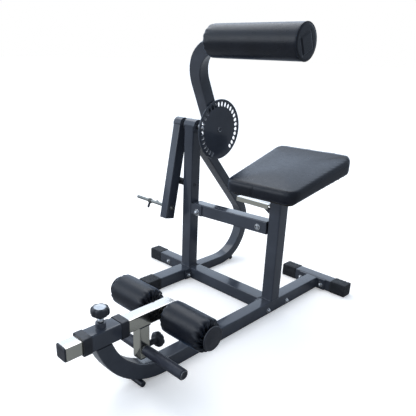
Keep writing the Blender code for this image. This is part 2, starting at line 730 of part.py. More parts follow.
def make_disc():
    centre = Vector((DISC_X - DISC_T, AXIS_Y, AXIS_Z))
    bore = DISC_BORE + GAP
    profile = [(bore, 0.0), (DISC_R - 0.0006, 0.0), (DISC_R, 0.0006),
               (DISC_R, DISC_T - 0.0006), (DISC_R - 0.0006, DISC_T), (bore, DISC_T)]
    disc = lathe("index_disc", profile, centre, X_DIR, "slate", 64, closed=True)
    side = X_DIR * 0.02
    cutters = None
    for index in range(DISC_SLOTS):
        spoke = slot_spoke(index)
        outline = slot_outline(spoke, X_DIR.cross(spoke))
        middle = centre + spoke * DISC_RING
        tool = loft("cutter", [[middle + p - side for p in outline],
                               [middle + p + side for p in outline]], None)
        if cutters is None:
            cutters = tool
        else:
            join_meshes(cutters, tool)
    return cut(disc, cutters)


def join_meshes(first, second):
    """Add the second mesh's separate solid to the first."""
    points = [v.co.copy() for v in first.data.vertices]
    faces = [tuple(p.vertices) for p in first.data.polygons]
    shift = len(points)
    points += [v.co.copy() for v in second.data.vertices]
    faces += [tuple(i + shift for i in p.vertices) for p in second.data.polygons]
    mesh = bpy.data.meshes.new("cutters")
    mesh.from_pydata([tuple(p) for p in points], [], faces)
    first.data = mesh
    bpy.data.objects.remove(second, do_unlink=True)


def make_weight_arm():
    centre = Vector((WEIGHT_X, AXIS_Y, AXIS_Z))
    half = X_DIR * WEIGHT_WIDE / 2
    bush("weight_hub", centre - half, centre + half, HUB_R, SHAFT_R + GAP, "slate", 32)
    arm = square_tube("weight_arm", centre + HANG * 0.006, centre + HANG * WEIGHT_LONG,
                      X_DIR, HANG_SIDE, wide=WEIGHT_WIDE)
    drill(arm, centre - half * 2, centre + half * 2, HUB_R + GAP, 32)
    spot = centre + HANG * ROD_DROP
    drill(arm, spot - half * 2, spot + half * 2, ROD_R + GAP, 24)
    plug = rounded_square(WEIGHT_WIDE - 2 * WALL - 2 * GAP, TUBE - 2 * WALL - 2 * GAP, 0.002)
    cover = rounded_square(WEIGHT_WIDE, TUBE, 0.004)
    mouth = centre + HANG * WEIGHT_LONG
    steps = ((plug, -0.012), (plug, GAP), (cover, GAP), (cover, 0.003))
    loft("weight_arm_plug", [place(p, mouth + HANG * h, X_DIR, HANG_SIDE) for p, h in steps],
         "plastic")
    make_weight_rod(spot)


def make_weight_rod(spot):
    right = WEIGHT_X + WEIGHT_WIDE / 2 + GAP
    origin = Vector((0, spot.y, spot.z))
    profile = [(ROD_R - 0.001, ROD_TIP), (ROD_R, ROD_TIP + 0.001), (ROD_R, right),
               (0.0115, right), (0.0115, right + 0.002), (0.0095, right + 0.0025),
               (0.0090, right + 0.007), (0.0050, right + 0.0085)]
    lathe("weight_rod", profile, origin, X_DIR, "zinc", 24)


def coil(centre, radius, wire, turns, pitch, steps):
    """Frames of a coil of wire around the X axis."""
    frames = []
    for step in range(int(turns * steps) + 1):
        angle = 2 * math.pi * step / steps
        spoke = Vector((0, math.cos(angle), math.sin(angle)))
        spin = Vector((0, -math.sin(angle), math.cos(angle)))
        tangent = (spin * radius + X_DIR * (pitch / (2 * math.pi))).normalized()
        frames.append((centre + spoke * (radius + wire) + X_DIR * (pitch * step / steps),
                       tangent, spoke))
    return frames


def make_clip():
    """Spring collar: three turns of wire with two grip handles."""
    wire = 0.0015
    spot = Vector((0, AXIS_Y, AXIS_Z)) + HANG * ROD_DROP
    centre = Vector((-0.632, spot.y, spot.z))
    frames = coil(centre, ROD_R + 0.0006, wire, 2.75, 0.0036, 16)
    rings = []
    for middle, tangent, spoke in frames:
        rings.append(place(round_profile(wire, 6), middle, spoke, tangent.cross(spoke)))
    first, last = frames[0], frames[-1]
    start_leg = leg_points(first, -1)
    end_leg = leg_points(last, 1)
    rings = [place(round_profile(wire, 6), p, first[2], (first[1]).cross(first[2]))
             for p in reversed(start_leg)] + rings
    rings += [place(round_profile(wire, 6), p, last[2], (last[1]).cross(last[2]))
              for p in end_leg]
    loft("clip_coil", rings, "zinc")
    for name, frame, way in (("clip_grip_front", first, -1), ("clip_grip_rear", last, 1)):
        direction = frame[1] * way
        start = frame[0] + direction * 0.012
        bush(name, start, start + direction * 0.028, 0.0045, wire + GAP, "rubber", 12)


def leg_points(frame, way):
    middle, tangent, _ = frame
    return [middle + tangent * way * reach for reach in (0.006, 0.038)]


# ---------------------------------------------------------------- roller arm
def arm_point(x, reach):
    return Vector((x, AXIS_Y, AXIS_Z)) + ARM_UP * reach


def arm_frames(last_x):
    frames = [(arm_point(ARM_X, 0.010), ARM_UP)]
    centre = arm_point(ARM_X + ARM_BEND, ARM_REACH - ARM_BEND)
    frames += arc_frames(centre, ARM_BEND, math.pi, math.pi / 2, 14, X_DIR, ARM_UP)
    frames.append((arm_point(last_x, ARM_REACH), X_DIR))
    return frames


def make_roller_arm():
    end = CHEST_RIGHT - 0.004
    rows = []
    for size, radius in ((ARM_TUBE, CORNER), (ARM_TUBE - 2 * WALL, CORNER - WALL)):
        rows.append(swept(arm_frames(end), rounded_square(size, size, radius), ARM_OUT))
    arm = pipe("roller_arm", rows[0], rows[1], "slate")
    side = X_DIR * 0.05
    pivot = Vector((ARM_X, AXIS_Y, AXIS_Z))
    drill(arm, pivot - side, pivot + side, HUB_R + GAP, 32)
    pin = Vector((ARM_X, AXIS_Y, AXIS_Z)) + slot_spoke(PIN_SLOT) * DISC_RING
    drill(arm, pin - side, pin + side, 0.0050, 16)
    hub_half = X_DIR * (ARM_TUBE / 2 + 0.002)
    bush("arm_hub", pivot - hub_half, pivot + hub_half, HUB_R, SHAFT_R + RUN, "slate", 32)
    loft("arm_plug", plug_rings(arm_point(end, ARM_REACH), X_DIR, ARM_OUT, ARM_UP, ARM_TUBE,
                                WALL), "plastic")


def make_index_pin():
    """Pull pin through the arm; its tip stands just clear of the disc."""
    spot = Vector((0, AXIS_Y, AXIS_Z)) + slot_spoke(PIN_SLOT) * DISC_RING
    face = ARM_X - ARM_TUBE / 2
    tip = DISC_X - DISC_T - 0.0008
    profile = [(0.0045, tip), (0.0045, face - GAP), (0.0065, face - GAP), (0.0065, face - 0.006),
               (0.0085, face - 0.007), (0.0090, face - 0.010), (0.0085, face - 0.016),
               (0.0040, face - 0.018)]
    lathe("index_pin", profile, spot, X_DIR, "plastic", 20)


def make_chest_roller():
    long = CHEST_RIGHT - CHEST_LEFT
    profile = [(0.034, 0.0), (0.044, 0.002), (0.0505, 0.009), (0.0530, 0.018), (CHEST_R, 0.030),
               (CHEST_R, long - 0.006), (CHEST_R - 0.002, long - 0.0015), (CHEST_R - 0.005, long)]
    pad = lathe("chest_roller", profile, arm_point(CHEST_LEFT, CHEST_REACH), X_DIR, "vinyl", 36)
    size = ARM_TUBE + 2 * GAP
    rings = swept(arm_frames(CHEST_RIGHT + 0.03), rounded_square(size, size, CORNER), ARM_OUT)
    return cut(pad, loft("cutter", rings, None))


def main():
    clear_scene()
    make_main_rail()
    make_end_plate()
    make_stabiliser()
    make_lever_base()
    make_cross_tube()
    make_rear_brace()
    make_pegs()
    make_seat_post()
    make_lever_post()
    make_tie()
    make_tie_bolts()
    make_stop_peg()
    make_seat()
    make_seat_mount()
    make_sleeve()
    make_pop_knob()
    make_slide_tube()
    make_foot_post()
    make_foot_bar()
    make_lock_knob()
    make_axle()
    make_ankle_rollers()
    make_shaft()
    make_disc()
    make_weight_arm()
    make_clip()
    make_roller_arm()
    make_index_pin()
    make_chest_roller()


main()
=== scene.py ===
"""Looks of the seated crunch and back-extension bench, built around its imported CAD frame."""
import json
import math
import random

import bmesh
import bpy
import numpy as np
from mathutils import Matrix, Vector
from mathutils.bvhtree import BVHTree

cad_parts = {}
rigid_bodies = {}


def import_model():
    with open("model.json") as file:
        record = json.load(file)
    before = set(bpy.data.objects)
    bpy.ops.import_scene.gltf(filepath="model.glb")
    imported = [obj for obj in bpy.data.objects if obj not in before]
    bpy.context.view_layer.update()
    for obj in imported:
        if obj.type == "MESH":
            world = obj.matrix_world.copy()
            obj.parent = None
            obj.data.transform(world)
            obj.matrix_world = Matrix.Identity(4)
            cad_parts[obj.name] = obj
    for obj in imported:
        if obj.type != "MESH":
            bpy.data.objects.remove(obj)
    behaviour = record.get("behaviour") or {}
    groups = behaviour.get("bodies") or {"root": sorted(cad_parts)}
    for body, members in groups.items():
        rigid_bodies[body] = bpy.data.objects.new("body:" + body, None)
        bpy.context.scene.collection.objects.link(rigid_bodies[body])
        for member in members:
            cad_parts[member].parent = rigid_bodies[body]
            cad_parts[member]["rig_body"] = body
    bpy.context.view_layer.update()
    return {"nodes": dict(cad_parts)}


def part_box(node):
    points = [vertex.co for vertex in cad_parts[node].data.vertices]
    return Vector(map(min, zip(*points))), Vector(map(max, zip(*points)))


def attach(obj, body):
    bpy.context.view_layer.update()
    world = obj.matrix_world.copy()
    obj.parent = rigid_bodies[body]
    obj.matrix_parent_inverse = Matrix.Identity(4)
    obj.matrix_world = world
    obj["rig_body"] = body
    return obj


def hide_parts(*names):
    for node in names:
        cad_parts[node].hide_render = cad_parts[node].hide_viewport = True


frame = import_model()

X_DIR = Vector((1.0, 0.0, 0.0))
Y_DIR = Vector((0.0, 1.0, 0.0))
Z_DIR = Vector((0.0, 0.0, 1.0))
WORLD_LOW = 1.62                # light from the horizon
WORLD_HIGH = 1.25               # light from overhead
WORLD_RIGHT = 0.32              # share of it that comes from the +X side
ROUND_COUNT = 116               # points round a roller's cover
FOLD_SINK = 0.0090              # how far a roller's folds sink into its end
FOLD_PULL = 0.0062              # how far they draw in its side
SEAM_X = -0.010                 # vertical seam in the seat's front side
SEAM_WIDTH = 0.0042
SEAM_DEPTH = 0.0020
TUCK_DEPTH = 0.0007             # pull of the cover over the seat's lower edge
WELD_DISTANCE = 2e-6            # points of a CAD mesh this close are one point
BEAD_STEP = 0.0024              # spacing of the rings along a weld bead

# the camera's place, heading west of +Y, downward tilt, roll, lens and shift
CAMERA_AT = Vector((0.9514, -1.4032, 0.9392))
CAMERA_HEADING = math.radians(44.80)
CAMERA_TILT = math.radians(21.95)
CAMERA_ROLL = math.radians(1.59)
CAMERA_LENS = 41.66
CAMERA_SHIFT = (0.0437, 0.0869)


# ----------------------------------------------------------------- materials
class Shader:
    """A Principled material with a short way to add and join nodes."""

    def __init__(self, name, rough, metallic=0.0, ior=1.45):
        self.material = bpy.data.materials.new(name)
        self.material.use_nodes = True
        self.tree = self.material.node_tree
        self.main = self.tree.nodes["Principled BSDF"]
        self.main.inputs["Roughness"].default_value = rough
        self.main.inputs["Metallic"].default_value = metallic
        self.main.inputs["IOR"].default_value = ior
        self.place = self.node("ShaderNodeTexCoord").outputs["Object"]

    def node(self, kind, **values):
        made = self.tree.nodes.new(kind)
        for key, value in values.items():
            setattr(made, key, value)
        return made

    def join(self, output, target):
        self.tree.links.new(output, target)

    def noise(self, scale, detail=4.0, stretch=None):
        """Noise in metres; stretch squeezes it along each axis."""
        made = self.node("ShaderNodeTexNoise")
        made.inputs["Scale"].default_value = scale
        made.inputs["Detail"].default_value = detail
        source = self.place
        if stretch:
            mapping = self.node("ShaderNodeMapping")
            mapping.inputs["Scale"].default_value = stretch
            self.join(source, mapping.inputs["Vector"])
            source = mapping.outputs["Vector"]
        self.join(source, made.inputs["Vector"])
        return made.outputs["Fac"]

    def ramp(self, value, stops):
        """Colours or greys along a value."""
        made = self.node("ShaderNodeValToRGB")
        elements = made.color_ramp.elements
        while len(elements) < len(stops):
            elements.new(0.5)
        for element, (place, colour) in zip(elements, stops):
            element.position = place
            element.color = (*colour, 1.0)
        self.join(value, made.inputs["Fac"])
        return made.outputs["Color"]

    def spread(self, value, low, high):
        made = self.node("ShaderNodeMapRange")
        made.inputs["From Min"].default_value = 0.3
        made.inputs["From Max"].default_value = 0.7
        made.inputs["To Min"].default_value = low
        made.inputs["To Max"].default_value = high
        self.join(value, made.inputs["Value"])
        return made.outputs["Result"]

    def bump(self, height, distance, strength=1.0, after=None):
        made = self.node("ShaderNodeBump")
        made.inputs["Distance"].default_value = distance
        made.inputs["Strength"].default_value = strength
        self.join(height, made.inputs["Height"])
        if after:
            self.join(after, made.inputs["Normal"])
        return made.outputs["Normal"]

    def set_colour(self, output):
        self.join(output, self.main.inputs["Base Color"])

    def set_rough(self, output):
        self.join(output, self.main.inputs["Roughness"])

    def set_normal(self, output):
        self.join(output, self.main.inputs["Normal"])


def mixed(colour, factor):
    return tuple(min(1.0, c * factor) for c in colour)


def paint_material():
    """Slate powder coat: cloudy colour, faint orange peel, thin clear gloss."""
    s = Shader("slate_paint", 0.3, ior=1.38)
    base = (0.048, 0.054, 0.068)
    cloud = s.noise(9.0, 5.0)
    s.set_colour(s.ramp(cloud, [(0.30, mixed(base, 0.80)), (0.55, base), (0.75, mixed(base, 1.25))]))
    s.set_rough(s.spread(s.noise(26.0, 6.0), 0.13, 0.22))
    peel = s.bump(s.noise(300.0, 2.0), 0.00010, 0.14)
    s.set_normal(s.bump(s.noise(30.0, 3.0), 0.0005, 0.05, peel))
    s.main.inputs["Coat Weight"].default_value = 0.30
    s.main.inputs["Coat Roughness"].default_value = 0.07
    return s.material


def chrome_material():
    """Plated steel with painted reflection and shade: lighter on top, darker and warmer on its sides,
    by which way the surface faces.
    """
    s = Shader("chrome_plate", 0.1, 1.0)
    geometry = s.node("ShaderNodeNewGeometry")
    split = s.node("ShaderNodeSeparateXYZ")
    s.join(geometry.outputs["Normal"], split.inputs["Vector"])
    # painted reflection and shade: the colour follows how far the surface faces up, darker and warmer
    # on the sides and lighter on top
    painted_side_shade = s.ramp(split.outputs["Z"], [(0.05, (0.52, 0.51, 0.44)), (0.75, (0.76, 0.72, 0.67))])
    s.set_colour(painted_side_shade)
    s.set_rough(s.spread(s.noise(60.0, 5.0, (1.0, 0.15, 1.0)), 0.08, 0.20))
    s.set_normal(s.bump(s.noise(30.0, 2.0), 0.0004, 0.15))
    return s.material


def zinc_material():
    s = Shader("zinc_plate", 0.25, 1.0)
    s.set_colour(s.ramp(s.noise(140.0), [(0.3, (0.36, 0.37, 0.39)), (0.7, (0.66, 0.66, 0.66))]))
    s.set_rough(s.spread(s.noise(300.0, 3.0), 0.10, 0.24))
    s.set_normal(s.bump(s.noise(500.0, 2.0), 0.0002, 0.25))
    return s.material


def steel_material():
    """Darker bright-drawn steel of the weight rod and its clip."""
    s = Shader("drawn_steel", 0.3, 1.0)
    s.set_colour(s.ramp(s.noise(90.0, 4.0, (0.2, 1.0, 1.0)),
                        [(0.3, (0.17, 0.175, 0.165)), (0.7, (0.30, 0.30, 0.28))]))
    s.set_rough(s.spread(s.noise(220.0, 3.0), 0.18, 0.32))
    s.set_normal(s.bump(s.noise(400.0, 2.0), 0.0002, 0.25))
    return s.material


def vinyl_material():
    """Coated upholstery cloth: fine pebble grain over soft creases."""
    s = Shader("black_vinyl", 0.45, ior=1.37)
    s.set_colour(s.ramp(s.noise(14.0, 3.0),
                        [(0.3, (0.0035, 0.0045, 0.0080)), (0.7, (0.0065, 0.0082, 0.0140))]))
    s.set_rough(s.spread(s.noise(70.0, 4.0), 0.27, 0.38))
    grain = s.node("ShaderNodeTexVoronoi", feature="DISTANCE_TO_EDGE")
    grain.inputs["Scale"].default_value = 620.0
    s.join(s.place, grain.inputs["Vector"])
    pebble = s.bump(grain.outputs["Distance"], 0.00022, 0.45)
    s.set_normal(s.bump(s.noise(30.0, 2.0), 0.0010, 0.10, pebble))
    s.main.inputs["Sheen Weight"].default_value = 0.14
    s.main.inputs["Sheen Roughness"].default_value = 0.30
    s.main.inputs["Sheen Tint"].default_value = (0.20, 0.48, 1.0, 1.0)
    return s.material


def rubber_material(name, along):
    """Matt rubber with fine moulded ribs across the given axis."""
    s = Shader(name, 0.7, ior=1.4)
    s.set_colour(s.ramp(s.noise(50.0, 5.0),
                        [(0.3, (0.010, 0.011, 0.013)), (0.7, (0.024, 0.025, 0.028))]))
    s.set_rough(s.spread(s.noise(120.0, 4.0), 0.55, 0.8))
    ribs = s.node("ShaderNodeTexWave", bands_direction=along, wave_profile="SIN")
    ribs.inputs["Scale"].default_value = 95.0
    ribs.inputs["Distortion"].default_value = 0.15
    s.join(s.place, ribs.inputs["Vector"])
    rib_normal = s.bump(ribs.outputs["Fac"], 0.0006, 0.7)
    s.set_normal(s.bump(s.noise(400.0, 2.0), 0.0002, 0.4, rib_normal))
    return s.material


def plastic_material():
    s = Shader("black_plastic", 0.4, ior=1.46)
    s.set_colour(s.ramp(s.noise(35.0), [(0.3, (0.010, 0.011, 0.016)), (0.7, (0.020, 0.022, 0.029))]))
    s.set_rough(s.spread(s.noise(90.0, 4.0), 0.30, 0.52))
    s.set_normal(s.bump(s.noise(700.0, 2.0), 0.00015, 0.4))
    return s.material


def foam_rubber_material():
    """Closed-cell foam of the foot grips."""
    s = Shader("grip_foam", 0.5, ior=1.45)
    s.set_colour(s.ramp(s.noise(60.0), [(0.3, (0.018, 0.020, 0.030)), (0.7, (0.030, 0.033, 0.046))]))
    s.set_rough(s.spread(s.noise(150.0, 4.0), 0.34, 0.52))
    s.set_normal(s.bump(s.noise(900.0, 2.0), 0.0002, 0.5))
    return s.material


def board_material():
    s = Shader("seat_board_wood", 0.8, ior=1.4)
    s.set_colour(s.ramp(s.noise(8.0, 6.0, (1.0, 18.0, 1.0)),
                        [(0.3, (0.014, 0.012, 0.010)), (0.7, (0.034, 0.029, 0.024))]))
    s.set_rough(s.spread(s.noise(80.0), 0.7, 0.9))
    s.set_normal(s.bump(s.noise(20.0, 5.0, (1.0, 20.0, 1.0)), 0.0006, 0.4))
    return s.material


def label_material():
    s = Shader("knob_label", 0.3, 0.3)
    s.set_colour(s.ramp(s.noise(200.0), [(0.3, (0.40, 0.42, 0.45)), (0.7, (0.58, 0.60, 0.62))]))
    s.set_rough(s.spread(s.noise(250.0), 0.25, 0.4))
    return s.material


PAINT = paint_material()
CHROME = chrome_material()
ZINC = zinc_material()
STEEL = steel_material()
VINYL = vinyl_material()
RUBBER_X = rubber_material("ribbed_rubber_x", "X")
RUBBER_Y = rubber_material("ribbed_rubber_y", "Y")
PLASTIC = plastic_material()
FOAM = foam_rubber_material()
BOARD = board_material()
LABEL = label_material()


# -------------------------------------------------------------- mesh helpers
def add_piece(name, points, faces, material, body, smooth=True):
    mesh = bpy.data.meshes.new(name)
    mesh.from_pydata([tuple(p) for p in points], [], faces)
    mesh.update()
    if smooth:
        mesh.polygons.foreach_set("use_smooth", [True] * len(mesh.polygons))
    piece = bpy.data.objects.new(name, mesh)
    bpy.context.scene.collection.objects.link(piece)
    mesh.materials.append(material)
    fix_outside(mesh)
    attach(piece, body)
    return piece


def fix_outside(mesh):
    work = bmesh.new()
    work.from_mesh(mesh)
    bmesh.ops.recalc_face_normals(work, faces=work.faces)
    work.to_mesh(mesh)
    work.free()


def round_off(piece, width, segments=2, angle=40.0):
    """Small real bevels on the sharp edges, with face-weighted shading."""
    bevel = piece.modifiers.new("edges", "BEVEL")
    bevel.width = width
    bevel.segments = segments
    bevel.limit_method = "ANGLE"
    bevel.angle_limit = math.radians(angle)
    bevel.use_clamp_overlap = True
    weights = piece.modifiers.new("shading", "WEIGHTED_NORMAL")
    weights.keep_sharp = False


def clean_shell(node, flat=0.0):
    """Points and faces of a CAD node, welded; faces that meet within the flat angle are joined."""
    work = bmesh.new()
    work.from_mesh(frame["nodes"][node].data)
    bmesh.ops.remove_doubles(work, verts=work.verts, dist=WELD_DISTANCE)
    if flat:
        bmesh.ops.dissolve_limit(work, angle_limit=flat, verts=work.verts, edges=work.edges)
    points = [v.co.copy() for v in work.verts]
    work.verts.index_update()
    faces = [tuple(v.index for v in f.verts) for f in work.faces]
    work.free()
    return points, faces


def refined(node, material, width):
    """A cleaned copy of a CAD node with rounded edges and smooth shading, shown in its place."""
    points, faces = clean_shell(node, math.radians(0.6))
    piece = add_piece("fine_" + node, points, faces, material, frame["nodes"][node]["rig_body"])
    round_off(piece, width)
    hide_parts(node)
    return piece


def ring_faces(first, second, count):
    return [(first + i, first + (i + 1) % count, second + (i + 1) % count, second + i)
            for i in range(count)]


def lathe(name, profile, origin, axis, material, body, count=48, wave=None):
    """Revolve (radius, height) pairs; wave(angle, row) gives an offset in radius and height."""
    side = axis.orthogonal().normalized()
    other = axis.cross(side)
    points = []
    for row, (radius, height) in enumerate(profile):
        for i in range(count):
            angle = 2 * math.pi * i / count
            more_r, more_h = wave(angle, row) if wave else (0.0, 0.0)
            reach = max(radius + more_r, 0.0002)
            points.append(origin + axis * (height + more_h)
                          + (side * math.cos(angle) + other * math.sin(angle)) * reach)
    faces = []
    for row in range(len(profile) - 1):
        faces += ring_faces(row * count, (row + 1) * count, count)
    faces.append(tuple(reversed(range(count))))
    last = (len(profile) - 1) * count
    faces.append(tuple(range(last, last + count)))
    return add_piece(name, points, faces, material, body)


def wire(name, path, radius, material, body, sides=8, closed=False, ripple=0.0, seed=1):
    """Round bead along a path, with an optional ripple like a weld."""
    rng = random.Random(seed)
    count = len(path)
    points = []
    normal = None
    for index in range(count):
        before = path[index - 1] if (index or closed) else path[0]
        after = path[(index + 1) % count] if (index < count - 1 or closed) else path[-1]
        tangent = (after - before).normalized()
        if normal is None:
            normal = tangent.orthogonal().normalized()
        normal = (normal - tangent * normal.dot(tangent)).normalized()
        other = tangent.cross(normal)
        reach = radius * (1 + ripple * math.sin(index * 1.9) + ripple * rng.uniform(-0.5, 0.5))
        for i in range(sides):
            angle = 2 * math.pi * i / sides
            points.append(path[index] + (normal * math.cos(angle) + other * math.sin(angle)) * reach)
    faces = []
    for row in range(count - 1 + closed):
        faces += ring_faces(row * sides, (row + 1) % count * sides, sides)
    if not closed:
        faces.append(tuple(reversed(range(sides))))
        faces.append(tuple(range((count - 1) * sides, count * sides)))
    return add_piece(name, points, faces, material, body)


def centre_of(node):
    low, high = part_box(node)
    return (low + high) / 2


# ---------------------------------------------------------------- soft goods
def simulate(piece, pins, pressure, cap, stiffness=15.0):
    """Inflate a skin as cloth, keep each point within cap of where it began."""
    group = piece.vertex_groups.new(name="pins")
    for index, weight in enumerate(pins):
        if weight > 0.0:
            group.add([index], weight, "REPLACE")
    modifier = piece.modifiers.new("cloth", "CLOTH")
    cloth = modifier.settings
    cloth.quality = 3
    cloth.mass = 0.3
    cloth.tension_stiffness = stiffness
    cloth.compression_stiffness = stiffness
    cloth.shear_stiffness = stiffness / 3
    cloth.bending_stiffness = 0.5
    cloth.use_pressure = True
    cloth.uniform_pressure_force = pressure
    cloth.effector_weights.gravity = 0.0
    cloth.vertex_group_mass = "pins"
    modifier.collision_settings.use_collision = False
    scene = bpy.context.scene
    for step in range(1, 21):
        scene.frame_set(step)
    moved = piece.evaluated_get(bpy.context.evaluated_depsgraph_get()).data
    count = len(piece.data.vertices)
    old = np.empty(count * 3)
    new = np.empty(count * 3)
    piece.data.vertices.foreach_get("co", old)
    moved.vertices.foreach_get("co", new)
    piece.modifiers.remove(modifier)
    piece.vertex_groups.remove(group)
    scene.frame_set(1)
    shift = (new - old).reshape(-1, 3)
    length = np.linalg.norm(shift, axis=1, keepdims=True)
    shift *= cap * np.tanh(length / cap) / np.maximum(length, 1e-9)
    piece.data.vertices.foreach_set("co", (old + shift.ravel()))
    piece.data.update()


def add_subdivision(piece, levels=1):
    smooth = piece.modifiers.new("smooth", "SUBSURF")
    smooth.levels = levels
    smooth.render_levels = levels


def pleats(count, seed):
    """A fold pattern round a gathered end: 0 on a ridge and 1 in a valley."""
    rng = random.Random(seed)
    phases = [rng.uniform(0, 2 * math.pi) for _ in range(3)]
    sizes = (1.0, 0.55, 0.35)
    speeds = (count, count * 0.62 // 1, count * 1.45 // 1)

    def fold(angle):
        total = sum(a * math.cos(k * angle + p) for a, k, p in zip(sizes, speeds, phases))
        return 0.5 + 0.5 * math.tanh(1.3 * total)

    return fold


def smooth_step(low, high, value):
    t = min(max((value - low) / (high - low), 0.0), 1.0)
    return t * t * (3 - 2 * t)


def gathered_roller(node, body, seed, draw):
    """Foam roller whose vinyl cover is drawn together over its ends, by draw at low x and high x."""
    low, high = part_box(node)
    centre = (low + high) / 2
    half = (high.x - low.x) / 2 - 0.0015
    radius = (high.z - low.z) / 2 - 0.0035
    shoulder = 0.015
    bore = 0.0125
    rows = [(bore, -half + 0.006), (0.017, -half + 0.003), (0.023, -half + 0.0015)]
    for reach in (0.029, 0.034, 0.0375):
        rows.append((reach, -half + 0.0008))
    for step in range(8):
        turn = math.pi / 2 * step / 7
        rows.append((radius - shoulder * (1 - math.sin(turn)),
                     -half + shoulder * (1 - math.cos(turn))))
    body_steps = 10
    straight = 2 * (half - shoulder)
    rows += [(radius, -half + shoulder + straight * (i + 1) / (body_steps * 2))
             for i in range(body_steps)]
    rows += [(r, -h) for r, h in reversed(rows[:-1])]
    folds = (pleats(17, seed), pleats(15, seed + 7))

    def wave(angle, row):
        r, h = rows[row]
        fold = folds[0 if h < 0 else 1](angle + 0.12 * math.sin(r * 160))
        depth = 1.0 - smooth_step(0.002, 0.026, half - abs(h))
        inner = smooth_step(bore, 0.030, r)
        end_face = 1.0 - smooth_step(0.0, 0.014, half - abs(h))
        strength = draw[0 if h < 0 else 1]
        sink = FOLD_SINK * fold * end_face * inner * strength
        return -FOLD_PULL * fold * depth * inner * strength, sink if h < 0 else -sink

    piece = lathe(node + "_cover", rows, centre, X_DIR, VINYL, body, ROUND_COUNT, wave)
    pins = []
    for r, h in rows:
        pins += [1.0 if r < 0.018 else 0.15] * ROUND_COUNT
    simulate(piece, pins, 5.0, 0.0035, 12.0)
    add_subdivision(piece)
    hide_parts(node)
    return piece


def chest_roller():
    """Long foam roller: gathered at the arm, sewn flat cap at the free end over the square plug."""
    low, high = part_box("chest_roller")
    plug = centre_of("arm_plug")
    centre = (low + high) / 2
    radius = 0.0525
    lean = lever_lean()
    out = Vector((0, math.cos(lean), math.sin(lean)))
    up = Vector((0, -math.sin(lean), math.cos(lean)))
    length = high.x - low.x
    half_plug = 0.0235
    rows = [(0.010, 0.001), (0.020, 0.001), (0.028, 0.0012), (0.034, 0.0012), (0.039, 0.0016)]
    for step in range(7):
        turn = math.pi / 2 * step / 6
        rows.append((radius - 0.011 * (1 - math.sin(turn)), 0.0016 + 0.014 * (1 - math.cos(turn))))
    steps = 24
    rows += [(radius, 0.018 + (length - 0.026) * i / steps) for i in range(steps + 1)]
    rim = length - 0.0065
    for step in range(1, 6):
        turn = math.pi / 2 * step / 5
        rows.append((radius - 0.0055 * (1 - math.cos(turn)), rim + 0.0052 * math.sin(turn)))
    rows += [(reach / 1000, length - 0.0008) for reach in range(46, 1, -2)]
    fold = pleats(15, 5)
    origin = Vector((low.x, centre.y, centre.z))
    side = X_DIR.orthogonal().normalized()
    other = X_DIR.cross(side)

    def wave(angle, row):
        r, h = rows[row]
        near = 1.0 - smooth_step(0.0, 0.045, h)
        pull = -0.0022 * fold(angle) * near * smooth_step(0.012, 0.035, r)
        lift = 0.0
        if h > length - 0.002:
            spot = (side * math.cos(angle) + other * math.sin(angle)) * r
            offset = spot - Vector((0, plug.y - centre.y, plug.z - centre.z))
            edge = max(abs(offset.dot(out)), abs(offset.dot(up)))
            lift = 0.0022 * (1.0 - smooth_step(half_plug - 0.0012, half_plug + 0.0014, edge))
            lift -= 0.0008 * (1.0 - smooth_step(0.0, 0.003, abs(edge - half_plug - 0.003)))
        return pull, lift

    piece = lathe("chest_roller_cover", rows, origin, X_DIR, VINYL, "lever", ROUND_COUNT, wave)
    pins = []
    for r, h in rows:
        stiff = 1.0 if h > length - 0.004 or r < 0.02 else 0.12
        pins += [stiff] * ROUND_COUNT
    simulate(piece, pins, 4.0, 0.0025, 15.0)
    add_subdivision(piece)
    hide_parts("chest_roller", "arm_plug")
    seam = []
    for i in range(120):
        angle = 2 * math.pi * i / 120
        seam.append(origin + X_DIR * (length - 0.0030)
                    + (side * math.cos(angle) + other * math.sin(angle)) * (radius - 0.0004))
    wire("chest_roller_rim_seam", seam, 0.0011, VINYL, "lever", 8, True, 0.10, 3)


def lever_lean():
    """Forward lean of the lever, from the pivot to the roller's centre."""
    pivot = centre_of("arm_hub")
    roller = centre_of("chest_roller")
    return math.atan2(-(roller.y - pivot.y), roller.z - pivot.z)


def seat():
    """Seat pad: voxel skin of the CAD pad, drawn in, blown up as cloth and creased."""
    points, faces = clean_shell("seat_pad")
    piece = add_piece("seat_cover", points, faces, VINYL, "frame")
    remesh = piece.modifiers.new("skin", "REMESH")
    remesh.mode = "VOXEL"
    remesh.voxel_size = 0.0050
    relax = piece.modifiers.new("relax", "SMOOTH")
    relax.factor = 0.5
    relax.iterations = 2
    mesh = bpy.data.meshes.new_from_object(
        piece.evaluated_get(bpy.context.evaluated_depsgraph_get()))
    piece.modifiers.clear()
    piece.data = mesh
    mesh.polygons.foreach_set("use_smooth", [True] * len(mesh.polygons))
    calm_top(mesh)
    under = underside_of(frame["nodes"]["seat_pad"])
    pins = []
    for v in mesh.vertices:
        v.co -= v.normal * 0.0002
    mesh.update()
    for v in mesh.vertices:
        edge = 1.0 - abs(abs(v.normal.z) - 0.6) / 0.4
        pins.append(1.0 if v.normal.z < -0.7 else max(0.25, 0.8 * edge))
    simulate(piece, pins, 4.0, 0.0018, 20.0)
    crease_seat(piece, under)
    add_subdivision(piece)
    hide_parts("seat_pad")
    seat_seam(piece)
    return piece


def calm_top(mesh):
    """Smooth the facets of the crowned top and leave its rounded edges alone."""
    work = bmesh.new()
    work.from_mesh(mesh)
    top = [v for v in work.verts if v.normal.z > 0.955]
    for _ in range(40):
        bmesh.ops.smooth_vert(work, verts=top, factor=0.5, use_axis_x=True, use_axis_y=True,
                              use_axis_z=True)
    work.to_mesh(mesh)
    work.free()


def underside_of(source):
    """Height of the CAD pad's flat underside, as a plane in x and y."""
    faces = [f for f in source.data.polygons if f.normal.z < -0.9]
    flat = max(faces, key=lambda f: f.area)
    normal, point = flat.normal.copy(), flat.center.copy()
    return lambda x, y: point.z - (normal.x * (x - point.x) + normal.y * (y - point.y)) / normal.z


